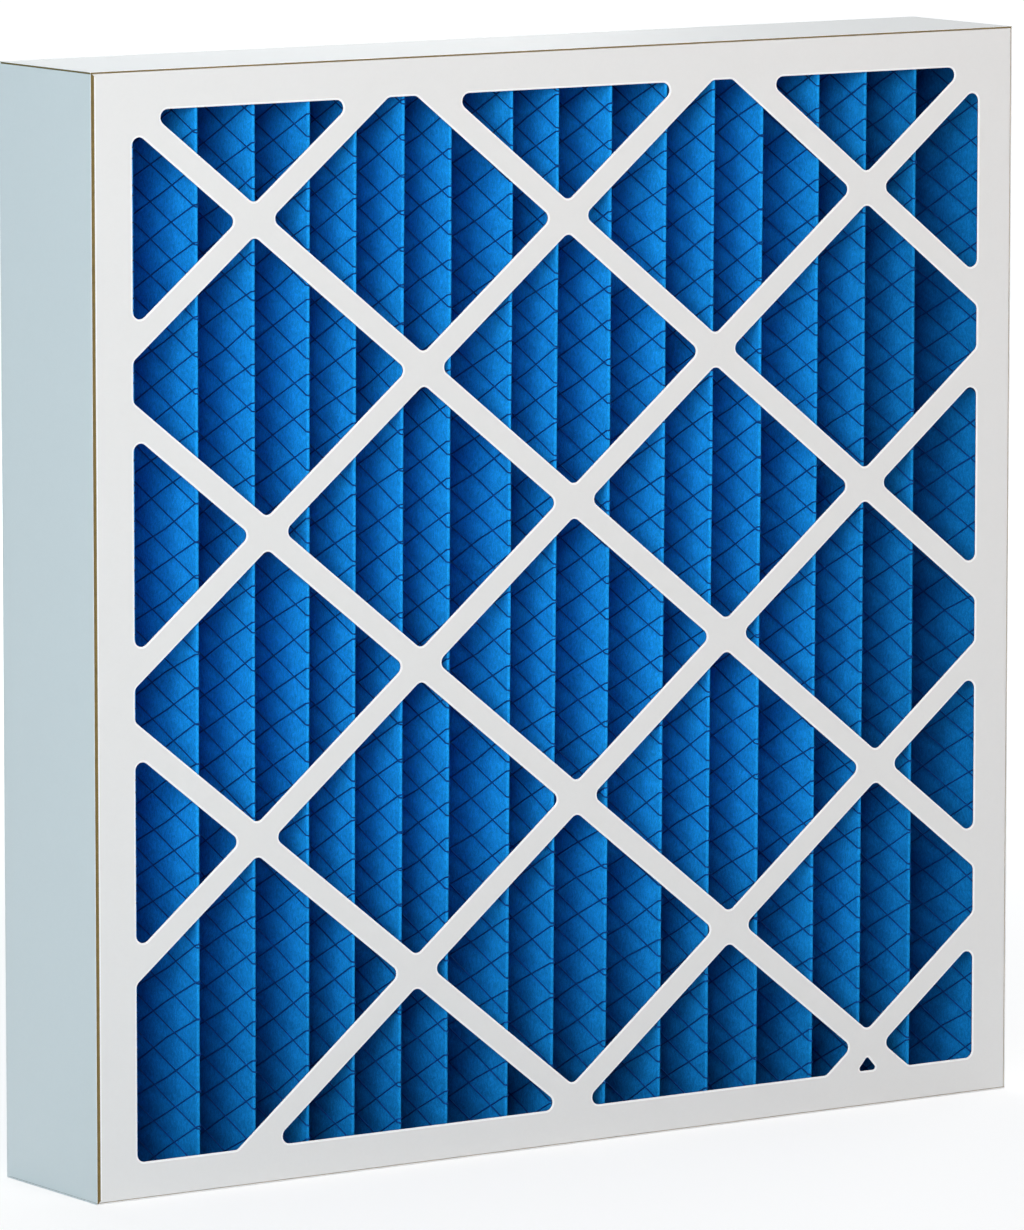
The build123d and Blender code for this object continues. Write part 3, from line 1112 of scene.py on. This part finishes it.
def make_sky(settings):
    """Even light from all round, behind a white backdrop."""
    world = bpy.data.worlds.new("studio")
    world.use_nodes = True
    graph = Graph(world.node_tree)
    tint = graph.mix(seen_ray(graph), (*settings.sky_colour, 1), (1, 1, 1, 1))
    graph.feed(graph.tree.nodes["Background"].inputs["Color"], tint)
    bpy.context.scene.world = world


def add_softbox(name, place, target, size, power, tint):
    """A square area lamp that faces a point."""
    lamp = bpy.data.lights.new(name, "AREA")
    lamp.size = size
    lamp.energy = power
    lamp.color = tint
    box = bpy.data.objects.new(name, lamp)
    box.location = place
    box.rotation_euler = (target - place).to_track_quat("-Z", "Y").to_euler()
    bpy.context.scene.collection.objects.link(box)


def add_camera(settings, middle):
    """The camera, on a line through the filter's middle and moved aside by its aim."""
    azimuth, elevation = settings.azimuth, settings.elevation
    forward = Vector((-sin(azimuth) * cos(elevation), cos(azimuth) * cos(elevation), -sin(elevation)))
    right = Vector((cos(azimuth), sin(azimuth), 0))
    up = right.cross(forward)
    lens = bpy.data.cameras.new("camera")
    lens.sensor_fit = "VERTICAL"
    lens.sensor_height = 36
    lens.lens = settings.lens
    lens.clip_end = 50
    camera = bpy.data.objects.new("camera", lens)
    aim = middle + right * settings.aim_across + up * settings.aim_up
    camera.location = aim - forward * settings.distance
    camera.rotation_euler = Matrix((right, up, -forward)).transposed().to_euler()
    bpy.context.scene.collection.objects.link(camera)
    bpy.context.scene.camera = camera


# ------------------------------------------------------------------ panel and registration
OPERATORS = (FILTER_OT_make_trays, FILTER_OT_make_felt, FILTER_OT_make_net, FILTER_OT_finish_glue,
             FILTER_OT_make_stage)
SETTINGS = {
    "filter_trays": FilterTraySettings,
    "filter_media": FilterMediaSettings,
    "filter_net": FilterNetSettings,
    "filter_stage": FilterStageSettings,
}


class FILTER_PT_panel(bpy.types.Panel):
    """Lists the filter's pieces in the sidebar"""

    bl_label = "Pleated Panel Filter"
    bl_idname = "FILTER_PT_panel"
    bl_space_type = "VIEW_3D"
    bl_region_type = "UI"
    bl_category = "Filter"

    def draw(self, context):
        for operator in OPERATORS:
            self.layout.operator(operator.bl_idname)
        for name, group in SETTINGS.items():
            box = self.layout.box()
            for title in group.__annotations__:
                box.prop(getattr(context.scene, name), title)


def register():
    """Registers the settings, the operators and the panel."""
    for name, group in SETTINGS.items():
        bpy.utils.register_class(group)
        setattr(bpy.types.Scene, name, PointerProperty(type=group))
    for item in (*OPERATORS, FILTER_PT_panel):
        bpy.utils.register_class(item)


def unregister():
    """Takes back what register added."""
    for item in (FILTER_PT_panel, *reversed(OPERATORS)):
        bpy.utils.unregister_class(item)
    for name, group in SETTINGS.items():
        delattr(bpy.types.Scene, name)
        bpy.utils.unregister_class(group)


def main():
    """Builds the whole scene."""
    register()
    bpy.ops.filter_panel.make_stage()
    bpy.ops.filter_panel.make_trays()
    bpy.ops.filter_panel.make_felt()
    bpy.ops.filter_panel.make_net()
    bpy.ops.filter_panel.finish_glue()


if __name__ == "__main__":
    main()
